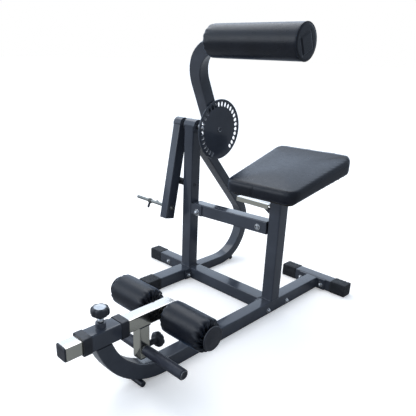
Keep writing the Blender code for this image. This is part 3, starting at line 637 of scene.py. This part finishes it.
def crease_seat(piece, under):
    """Draw the cover in along its front seam and pucker it where it is pulled under."""
    rng = random.Random(11)
    waves = [(rng.uniform(60, 170), rng.uniform(0, 6.28), rng.uniform(0.4, 1.0)) for _ in range(7)]
    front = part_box("seat_pad")[0].y + 0.06
    for v in piece.data.vertices:
        lift = v.co.z - under(v.co.x, v.co.y)
        facing = max(0.0, 1.0 - abs(v.normal.z) * 1.2)
        run = v.co.x + v.co.y
        pucker = sum(a * math.sin(k * run + p) for k, p, a in waves) / 3.0
        tuck = facing * (1.0 - smooth_step(0.003, 0.018, lift)) * TUCK_DEPTH
        v.co -= v.normal * tuck * (0.6 + pucker)
        if v.co.y < front and v.normal.y < -0.2:
            groove = math.exp(-((v.co.x - SEAM_X) / SEAM_WIDTH) ** 2)
            v.co -= v.normal * SEAM_DEPTH * groove * facing
    piece.data.update()


def seat_seam(piece):
    """Sewn vertical seam on the front side band, found by rays on the finished cover."""
    bpy.context.view_layer.update()
    tree = BVHTree.FromObject(piece, bpy.context.evaluated_depsgraph_get())
    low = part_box("seat_pad")[0]
    path = []
    for step in range(22):
        z = low.z - 0.004 + step * 0.0028
        spot, normal, _, _ = tree.ray_cast(Vector((SEAM_X, low.y - 0.05, z)), Y_DIR, 0.12)
        if spot is not None and normal.z < 0.75 and normal.z > -0.6:
            path.append(spot + normal * 0.0002)
    if len(path) > 3:
        wire("seat_front_seam", path, 0.0008, VINYL, "frame", 6, False, 0.25, 9)


# ------------------------------------------------------------------ hardware
def hexagon_reach(angle):
    """Reach of a hexagon's side at an angle, against the reach of its corners."""
    sixth = math.pi / 6
    return math.cos(sixth) / math.cos((angle + sixth) % (2 * sixth) - sixth)


def dome_bolt(name, seat_point, axis, body, radius=0.0105, height=0.010, washer=True):
    """Domed nut on a hexagon base and a washer."""
    rows = [(radius, 0.0002), (radius * 1.02, 0.0010), (radius, 0.0018), (radius * 0.72, 0.0020)]
    if not washer:
        rows = []
    first_hex = len(rows)
    hexagon = radius * 0.70

    def wave(angle, row):
        if first_hex <= row < first_hex + 3:
            flat = hexagon_reach(angle)
            return hexagon * 1.08 * flat - hexagon, 0.0
        return 0.0, 0.0

    rows += [(hexagon, 0.0021), (hexagon, height * 0.42), (hexagon * 0.98, height * 0.48)]
    for step in range(7):
        turn = math.pi / 2 * step / 6
        rows.append((hexagon * 0.90 * math.cos(turn) + 0.0002,
                     height * (0.50 + 0.50 * math.sin(turn))))
    piece = lathe(name, rows, seat_point, axis, ZINC, body, 36, wave)
    round_off(piece, 0.0002, 1, 50.0)
    return piece


def bolts():
    plate_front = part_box("rail_end_plate")[0].y
    cross_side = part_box("cross_plate_left")[1].x
    out_low, out_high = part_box("outrigger")
    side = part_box("seat_post")[1].x
    lever_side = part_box("lever_post")[1].x
    spots = [
        ("stabiliser_bolt_left", Vector((-0.055, plate_front, 0.022)), -Y_DIR, 0.0105),
        ("stabiliser_bolt_right", Vector((0.044, plate_front, 0.022)), -Y_DIR, 0.0115),
        ("cross_bolt_right_front", Vector((side, -0.034, 0.020)), X_DIR, 0.0105),
        ("cross_bolt_right_rear", Vector((side, 0.086, 0.020)), X_DIR, 0.0105),
        ("cross_bolt_left_front", Vector((cross_side, -0.041, 0.020)), X_DIR, 0.0110),
        ("cross_bolt_left_rear", Vector((cross_side, 0.045, 0.020)), X_DIR, 0.0110),
        ("outrigger_bolt", Vector((-0.564, out_low.y, 0.023)), -Y_DIR, 0.0105),
        ("outrigger_bolt_rear", Vector((-0.564, out_high.y, 0.023)), Y_DIR, 0.0105),
    ]
    for name, point, axis, radius in spots:
        dome_bolt(name, point, axis, "frame", radius, radius * 1.05)
    tie = centre_of("tie_bolt_left")
    seat_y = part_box("tie_bolt_left")[1].y
    piece = dome_bolt("tie_dome_left", Vector((tie.x, seat_y, tie.z)), -Y_DIR, "frame", 0.0145, 0.0135)
    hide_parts("tie_bolt_left")
    tie_nut()
    stop = Vector((lever_side, centre_of("stop_peg").y, centre_of("stop_peg").z))
    lathe("stop_peg_end", [(0.0070, 0.0002), (0.0070, 0.0012), (0.0058, 0.0018), (0.0046, 0.0018),
                           (0.0040, 0.0008), (0.0004, 0.0006)], stop, X_DIR, PLASTIC, "frame", 40)


def tie_nut():
    """Lock nut and thread end on a washer at the right end of the tie."""
    node = "tie_bolt_right"
    point = centre_of(node)
    point.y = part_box(node)[1].y
    radius = 0.0125
    rows = [(radius, 0.0), (radius, 0.0014), (radius * 0.76, 0.0016)]
    first = len(rows)
    rows += [(0.0088, 0.0018), (0.0088, 0.0060), (0.0078, 0.0068), (0.0060, 0.0066),
             (0.0052, 0.0030), (0.0036, 0.0030), (0.0030, 0.0044), (0.0005, 0.0046)]

    def wave(angle, row):
        if first <= row < first + 2:
            flat = hexagon_reach(angle)
            return 0.0088 * (1.08 * flat - 1.0), 0.0
        return 0.0, 0.0

    piece = lathe("tie_nut_right", rows, point, -Y_DIR, ZINC, "frame", 36, wave)
    round_off(piece, 0.0002, 1, 50.0)
    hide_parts(node)


def weld_ring(name, centre, axis_a, axis_b, half_a, half_b, radius, body, seed, skip=0):
    """Weld bead round a rectangular tube end; skip leaves out the first sides."""
    corners = [centre + axis_a * a + axis_b * b for a, b in
               ((half_a, half_b), (-half_a, half_b), (-half_a, -half_b), (half_a, -half_b))]
    path = []
    for side in range(skip, 4):
        start, end = corners[side], corners[(side + 1) % 4]
        steps = max(6, int((end - start).length / BEAD_STEP))
        path += [start.lerp(end, i / steps) for i in range(steps)]
    wire(name, path, radius, PAINT, body, 8, skip == 0, 0.16, seed)


def arc_weld(name, centre, axis, side, radius, start, end, bead, body, seed):
    """Weld bead along an arc round a hub."""
    other = axis.cross(side)
    steps = max(8, int(abs(end - start) * radius / BEAD_STEP))
    path = []
    for i in range(steps + 1):
        angle = start + (end - start) * i / steps
        path.append(centre + (side * math.cos(angle) + other * math.sin(angle)) * radius)
    wire(name, path, bead, PAINT, body, 8, False, 0.16, seed)


def welds():
    half = 0.0262
    for name, node in (("seat_post_weld", "seat_post"), ("lever_post_weld", "lever_post")):
        low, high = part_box(node)
        foot = Vector(((low.x + high.x) / 2, (low.y + high.y) / 2, low.z + 0.001))
        weld_ring(name, foot, X_DIR, Y_DIR, half - 0.0004, half - 0.0004, 0.0022, "frame", 4)
    low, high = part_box("foot_post")
    top = Vector((0, (low.y + high.y) / 2, high.z - 0.001))
    wide = (high.x - low.x) / 2 + 0.0006
    weld_ring("foot_post_weld", top, X_DIR, Y_DIR, wide, wide, 0.0018, "slider", 6)
    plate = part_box("rail_end_plate")[0]
    end = Vector((0, plate.y - 0.0002, 0.025))
    weld_ring("rail_end_weld", end, X_DIR, -Z_DIR, half - 0.0004, 0.0226, 0.0018, "frame", 8, 1)
    hub = centre_of("pivot_hub")
    post_low, post_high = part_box("lever_post")
    for name, x in (("hub_weld_right", post_high.x + 0.0004), ("hub_weld_left", post_low.x - 0.0004)):
        arc_weld(name, Vector((x, hub.y, hub.z)), X_DIR, Y_DIR, 0.0258, math.radians(-178),
                 math.radians(-2), 0.0016, "frame", 12)


def knob_piece(name, node, axis, height, radius, lobes, body, stem_rows, foot):
    """Moulded grip with rounded lobes on its stem; foot is its width below against its full width."""
    low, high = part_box(node)
    centre = (low + high) / 2
    top = Vector([h if a > 0.5 else c for h, c, a in zip(high, centre, axis)])
    origin = top - axis * height
    rows = list(stem_rows)
    first = len(rows)
    flare = 1 - foot
    curve = [(foot, 0.0), (foot + flare * 0.35, 0.10), (foot + flare * 0.80, 0.22), (1.0, 0.36),
             (1.0, 0.48), (0.99, 0.66), (0.96, 0.82), (0.90, 0.93), (0.78, 0.99), (0.70, 1.0),
             (0.66, 0.985), (0.40, 0.985), (0.05, 0.985)]
    rows += [(radius * r, height * h) for r, h in curve]

    def wave(angle, row):
        if first < row < first + 9:
            valley = (0.5 - 0.5 * math.cos(lobes * angle)) ** 2.2
            return -0.085 * radius * valley, 0.0
        return 0.0, 0.0

    piece = lathe(name, rows, origin, axis, PLASTIC, body, 96, wave)
    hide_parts(node)


def knobs():
    pop_low, pop_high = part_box("pop_knob")
    height = 0.028
    base = pop_high.z - height
    stem = [(0.0050, pop_low.z - base), (0.0058, pop_low.z - base + 0.001), (0.0058, -0.0175),
            (0.0078, -0.0172), (0.0078, -0.0020), (0.0150, -0.0004)]
    knob_piece("pop_knob_grip", "pop_knob", Z_DIR, height, 0.0262, 8, "pop_pull", stem, 0.55)
    top = Vector((centre_of("pop_knob").x, centre_of("pop_knob").y, pop_high.z - 0.0007))
    lathe("pop_knob_disc", [(0.0160, 0.0), (0.0166, 0.0004), (0.0164, 0.0008), (0.0135, 0.0009),
                            (0.0130, 0.0007), (0.0003, 0.0007)], top, Z_DIR, LABEL, "pop_pull", 64)
    sleeve_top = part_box("guide_sleeve")[1].z
    lathe("pop_pin_stem", [(0.0083, 0.0004), (0.0088, 0.0012), (0.0088, 0.0090), (0.0080, 0.0100),
                           (0.0080, base - sleeve_top - 0.0030)],
          Vector((0, top.y, sleeve_top)), Z_DIR, ZINC, "pop_pull", 40)
    lock_low, lock_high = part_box("lock_knob")
    reach = lock_high.y - lock_low.y
    stem = [(0.0035, 0.020 - reach), (0.0040, 0.021 - reach), (0.0040, -0.0340), (0.0088, -0.0338),
            (0.0092, -0.0200), (0.0088, -0.0020), (0.0140, -0.0004)]
    knob_piece("lock_knob_grip", "lock_knob", Y_DIR, 0.020, 0.0250, 7, "lock_screw", stem, 0.80)


def axle_caps():
    for side, sign in (("left", -1), ("right", 1)):
        node = "axle_cap_" + side
        low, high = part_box(node)
        inner = high.x if sign < 0 else low.x
        radius = (high.z - low.z) / 2
        rows = [(radius * 0.94, 0.0), (radius * 0.99, 0.0008), (radius, 0.0020), (radius, 0.0038),
                (radius * 0.985, 0.0050), (radius * 0.95, 0.0058), (radius * 0.90, 0.0060),
                (radius * 0.84, 0.0057), (radius * 0.78, 0.0058), (radius * 0.5, 0.0070),
                (radius * 0.2, 0.0078), (0.0004, 0.0080)]
        origin = Vector((inner, (low.y + high.y) / 2, (low.z + high.z) / 2))
        piece = lathe("axle_cap_cover_" + side, rows, origin, X_DIR * sign, PLASTIC, "slider", 72)
        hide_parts(node)


def foot_grips():
    """Foam sleeves on the foot bar; the plated tube end shows inside each one."""
    bar_low, bar_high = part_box("foot_bar")
    centre = (bar_low + bar_high) / 2
    tube = (bar_high.z - bar_low.z) / 2
    for side, sign in (("left", -1), ("right", 1)):
        node = "foot_grip_" + side
        low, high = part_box(node)
        start = min(abs(low.x), abs(high.x))
        end = max(abs(low.x), abs(high.x))
        outer = (high.z - low.z) / 2
        rows = [(tube + 0.0004, start), (outer - 0.0016, start), (outer - 0.0004, start + 0.0008),
                (outer, start + 0.0024)]
        rows += [(outer, start + 0.0024 + (end - start - 0.0060) * i / 8) for i in range(1, 9)]
        rows += [(outer - 0.0006, end - 0.0026), (outer - 0.0022, end - 0.0016),
                 (tube + 0.0012, end - 0.0014), (tube + 0.0004, end - 0.0030),
                 (tube + 0.0004, start + 0.0001)]
        piece = ring_shell(node + "_foam", rows, centre, X_DIR * sign, FOAM, "slider", 56)
        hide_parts(node)
        plug = [(tube - 0.0022, end - 0.0090), (tube - 0.0020, end - 0.0016),
                (tube + 0.0004, end - 0.0014), (tube + 0.0008, end - 0.0008),
                (tube + 0.0002, end - 0.0001), (tube - 0.0016, end - 0.0001),
                (tube - 0.0030, end - 0.0008), (0.0004, end - 0.0003)]
        lathe(node + "_end_plug", plug, centre, X_DIR * sign, PLASTIC, "slider", 48)
        ring = [(tube + 0.0003, start - 0.0022), (tube + 0.0026, start - 0.0020),
                (tube + 0.0030, start - 0.0012), (tube + 0.0026, start - 0.0003),
                (tube + 0.0003, start - 0.0002)]
        ring_shell(node + "_ring", ring, centre, X_DIR * sign, ZINC, "slider", 48)
        rim = [centre + X_DIR * sign * (end - 0.0007)
               + (Y_DIR * math.cos(a) + Z_DIR * math.sin(a)) * (tube + 0.0010)
               for a in (math.radians(6 * i) for i in range(60))]
        wire(node + "_rim", rim, 0.0007, ZINC, "slider", 8, True)


def ring_shell(name, rows, origin, axis, material, body, count):
    """Revolved closed profile: a hollow sleeve."""
    side = axis.orthogonal().normalized()
    other = axis.cross(side)
    points = []
    for radius, height in rows:
        for i in range(count):
            angle = 2 * math.pi * i / count
            points.append(origin + axis * height
                          + (side * math.cos(angle) + other * math.sin(angle)) * radius)
    faces = []
    for row in range(len(rows)):
        faces += ring_faces(row * count, (row + 1) % len(rows) * count, count)
    return add_piece(name, points, faces, material, body)


def clip():
    """Spring collar on the weight rod: round wire coil and two dipped handles."""
    low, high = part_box("clip_coil")
    rod = centre_of("weight_rod")
    wire_r = 0.0016
    coil_r = 0.0070 + wire_r + 0.0006
    turns = 2.75
    steps = 40
    start_x = low.x + wire_r
    pitch = (high.x - low.x - 2 * wire_r) / turns
    path = []
    total = int(turns * steps)
    for step in range(total + 1):
        angle = 2 * math.pi * step / steps
        path.append(Vector((start_x + pitch * step / steps, rod.y + coil_r * math.cos(angle),
                            rod.z + coil_r * math.sin(angle))))
    hang = Vector((-0.34, -0.10, -0.93)).normalized()
    first_leg = [path[0] + hang * reach for reach in (0.038, 0.030, 0.020, 0.012, 0.005)]
    last_angle = 2 * math.pi * turns
    away = Vector((0, -math.sin(last_angle), math.cos(last_angle)))
    last_leg = [path[-1] + away * reach for reach in (0.005, 0.012, 0.020, 0.030, 0.038)]
    piece = wire("clip_wire", first_leg + path + last_leg, wire_r, STEEL, "clip", 12)
    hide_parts("clip_coil")
    for node, leg in (("clip_grip_front", first_leg[::-1]), ("clip_grip_rear", last_leg)):
        direction = (leg[-1] - leg[0]).normalized()
        begin = leg[0] + direction * 0.0065
        rows = [(0.0026, 0.0), (0.0044, 0.0008), (0.0051, 0.0030), (0.0053, 0.0230),
                (0.0048, 0.0262), (0.0032, 0.0284), (0.0004, 0.0290)]
        handle = lathe(node + "_dip", rows, begin, direction, FOAM, "clip", 28)
        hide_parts(node)


def disc_centre():
    """Dark cap with a shallow dish over the pivot shaft's end in the disc's bore, as painted shade for
    a recessed hole, and a bright zinc arc on part of its rim as a painted highlight.
    """
    hub = centre_of("pivot_hub")
    face = Vector((max(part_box("index_disc")[1].x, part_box("pivot_shaft")[1].x), hub.y, hub.z))
    rows = [(0.0086, 0.0002), (0.0086, 0.0009), (0.0080, 0.0013), (0.0066, 0.0013), (0.0060, 0.0009),
            (0.0058, 0.0004), (0.0030, 0.0004), (0.0003, 0.0004)]
    # painted shade: a dark cap put where the shaded hole of the bore shows
    lathe("disc_centre_shade_cap", rows, face, X_DIR, PAINT, "crank", 48)
    # painted highlight: a bright zinc arc round part of the bore's rim
    ring = [face + X_DIR * 0.0012 + (Y_DIR * math.cos(a) + Z_DIR * math.sin(a)) * 0.0071
            for a in (math.radians(-150 + 6 * i) for i in range(26))]
    wire("disc_centre_glint_arc", ring, 0.0005, ZINC, "crank", 8)


def bracket_gusset():
    """Small triangular plates that hold the chrome bar to the seat post."""
    low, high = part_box("seat_bracket")
    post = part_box("seat_post")[0].x
    for name, y in (("bracket_gusset_front", low.y + 0.010), ("bracket_gusset_rear", high.y - 0.013)):
        outline = [(post, low.z - 0.0004), (post - 0.024, low.z - 0.0004),
                   (post - 0.024, low.z - 0.003), (post, low.z - 0.018)]
        points = [Vector((x, y + t, z)) for t in (0.0, 0.003) for x, z in outline]
        faces = [(0, 1, 2, 3), (7, 6, 5, 4)] + ring_faces(0, 4, 4)
        piece = add_piece(name, points, faces, PAINT, "frame", False)
        round_off(piece, 0.0005)


# --------------------------------------------------------------------- stage
def studio():
    scene = bpy.context.scene
    scene.view_settings.view_transform = "Standard"
    floor_mesh = bpy.data.meshes.new("studio_floor")
    reach = 40.0
    floor_mesh.from_pydata([(-reach, -reach, -0.0005), (reach, -reach, -0.0005),
                            (reach, reach, -0.0005), (-reach, reach, -0.0005)], [], [(0, 1, 2, 3)])
    floor = bpy.data.objects.new("studio_floor", floor_mesh)
    scene.collection.objects.link(floor)
    s = Shader("studio_floor", 0.9)
    seen = s.node("ShaderNodeLightPath").outputs["Is Camera Ray"]
    s.set_colour(s.ramp(seen, [(0.0, (0.36, 0.35, 0.34)), (1.0, (1.00, 0.95, 0.90))]))
    s.main.inputs["Emission Color"].default_value = (1.0, 1.0, 1.0, 1.0)
    glow = s.node("ShaderNodeMath", operation="MULTIPLY")
    glow.inputs[1].default_value = 0.26
    s.join(seen, glow.inputs[0])
    s.join(glow.outputs[0], s.main.inputs["Emission Strength"])
    s.main.inputs["Specular IOR Level"].default_value = 0.0
    floor_mesh.materials.append(s.material)
    studio_world(scene)
    area_light("sky_panel", Vector((-1.4, 0.4, 3.0)), Vector((-0.2, -0.1, 0.3)), 2.6, 34.0)
    area_light("front_panel", Vector((-1.6, -2.6, 1.6)), Vector((-0.2, 0.0, 0.4)), 1.6, 10.0)


def studio_world(scene):
    """White backdrop; the light it gives is strongest behind and to the left, weak on the right."""
    world = bpy.data.worlds.new("studio_world")
    scene.world = world
    world.use_nodes = True
    tree = world.node_tree
    back = tree.nodes["Background"]
    coordinate = tree.nodes.new("ShaderNodeTexCoord")
    split = tree.nodes.new("ShaderNodeSeparateXYZ")
    tree.links.new(coordinate.outputs["Generated"], split.inputs["Vector"])
    across = world_range(tree, split.outputs["X"], (-0.35, 0.75), (1.0, WORLD_RIGHT))
    rise = world_range(tree, split.outputs["Z"], (0.0, 0.9), (WORLD_LOW, WORLD_HIGH))
    level = tree.nodes.new("ShaderNodeMath")
    level.operation = "MULTIPLY"
    tree.links.new(across, level.inputs[0])
    tree.links.new(rise, level.inputs[1])
    lit = tree.nodes.new("ShaderNodeVectorMath")
    lit.operation = "SCALE"
    lit.inputs[0].default_value = (0.83, 0.96, 1.14)
    tree.links.new(level.outputs[0], lit.inputs["Scale"])
    seen = tree.nodes.new("ShaderNodeLightPath")
    choose = tree.nodes.new("ShaderNodeMix")
    choose.data_type = "RGBA"
    colours = [socket for socket in choose.inputs if socket.type == "RGBA"]
    tree.links.new(seen.outputs["Is Camera Ray"], choose.inputs[0])
    tree.links.new(lit.outputs[0], colours[0])
    colours[1].default_value = (1.0, 1.0, 1.0, 1.0)
    output = [socket for socket in choose.outputs if socket.type == "RGBA"][0]
    tree.links.new(output, back.inputs["Color"])


def world_range(tree, value, source, target):
    made = tree.nodes.new("ShaderNodeMapRange")
    made.interpolation_type = "SMOOTHSTEP"
    made.inputs["From Min"].default_value, made.inputs["From Max"].default_value = source
    made.inputs["To Min"].default_value, made.inputs["To Max"].default_value = target
    tree.links.new(value, made.inputs["Value"])
    return made.outputs["Result"]


def area_light(name, place, target, size, power):
    data = bpy.data.lights.new(name, "AREA")
    data.shape = "DISK"
    data.size = size
    data.energy = power
    lamp = bpy.data.objects.new(name, data)
    lamp.visible_camera = False
    lamp.location = place
    lamp.rotation_mode = "QUATERNION"
    lamp.rotation_quaternion = (target - place).to_track_quat("-Z", "Y")
    bpy.context.scene.collection.objects.link(lamp)


def camera():
    data = bpy.data.cameras.new("camera")
    data.lens = CAMERA_LENS
    data.sensor_width = 36.0
    data.shift_x, data.shift_y = CAMERA_SHIFT
    forward = Vector((-math.sin(CAMERA_HEADING) * math.cos(CAMERA_TILT),
                      math.cos(CAMERA_HEADING) * math.cos(CAMERA_TILT), -math.sin(CAMERA_TILT)))
    level = Vector((math.cos(CAMERA_HEADING), math.sin(CAMERA_HEADING), 0.0))
    up = level.cross(forward)
    right = level * math.cos(CAMERA_ROLL) + up * math.sin(CAMERA_ROLL)
    above = up * math.cos(CAMERA_ROLL) - level * math.sin(CAMERA_ROLL)
    item = bpy.data.objects.new("camera", data)
    item.matrix_world = Matrix.Translation(CAMERA_AT) @ Matrix(
        (right, above, -forward)).transposed().to_4x4()
    bpy.context.scene.collection.objects.link(item)
    bpy.context.scene.camera = item


# ---------------------------------------------------------------------- build
REFINED = {
    PAINT: ["main_rail", "rail_end_plate", "rear_stabiliser", "cross_tube", "cross_plate_left",
            "cross_plate_right", "lever_rail", "rear_brace", "outrigger", "seat_post", "lever_post",
            "pivot_hub", "tie_tube", "tie_bracket", "tie_stub", "seat_plate", "guide_sleeve",
            "weight_hub", "weight_arm", "index_disc", "roller_arm", "arm_hub"],
    CHROME: ["seat_bracket", "slide_tube", "foot_post", "foot_bar", "roller_axle"],
    ZINC: ["pivot_shaft"],
    STEEL: ["weight_rod"],
    RUBBER_X: ["stabiliser_cap_left", "stabiliser_cap_right", "outrigger_cap"],
    RUBBER_Y: ["lever_rail_cap", "stop_peg"],
    PLASTIC: ["front_peg", "rear_peg", "collar_front", "collar_rear", "weight_arm_plug",
              "slide_plug", "foot_post_plug", "index_pin"],
    BOARD: ["seat_board"],
}
THIN = {"index_disc": 0.0003, "tie_stub": 0.0003, "seat_bracket": 0.0004, "roller_axle": 0.0004,
        "foot_bar": 0.0004, "pivot_shaft": 0.0004, "weight_rod": 0.0003, "index_pin": 0.0003}


def build():
    for material, nodes in REFINED.items():
        for node in nodes:
            refined(node, material, THIN.get(node, 0.0007))
    seat()
    chest_roller()
    gathered_roller("ankle_roller_left", "roller_left", 3, (0.45, 1.0))
    gathered_roller("ankle_roller_right", "roller_right", 21, (0.45, 1.0))
    knobs()
    axle_caps()
    foot_grips()
    clip()
    bolts()
    welds()
    disc_centre()
    bracket_gusset()
    studio()
    camera()


build()
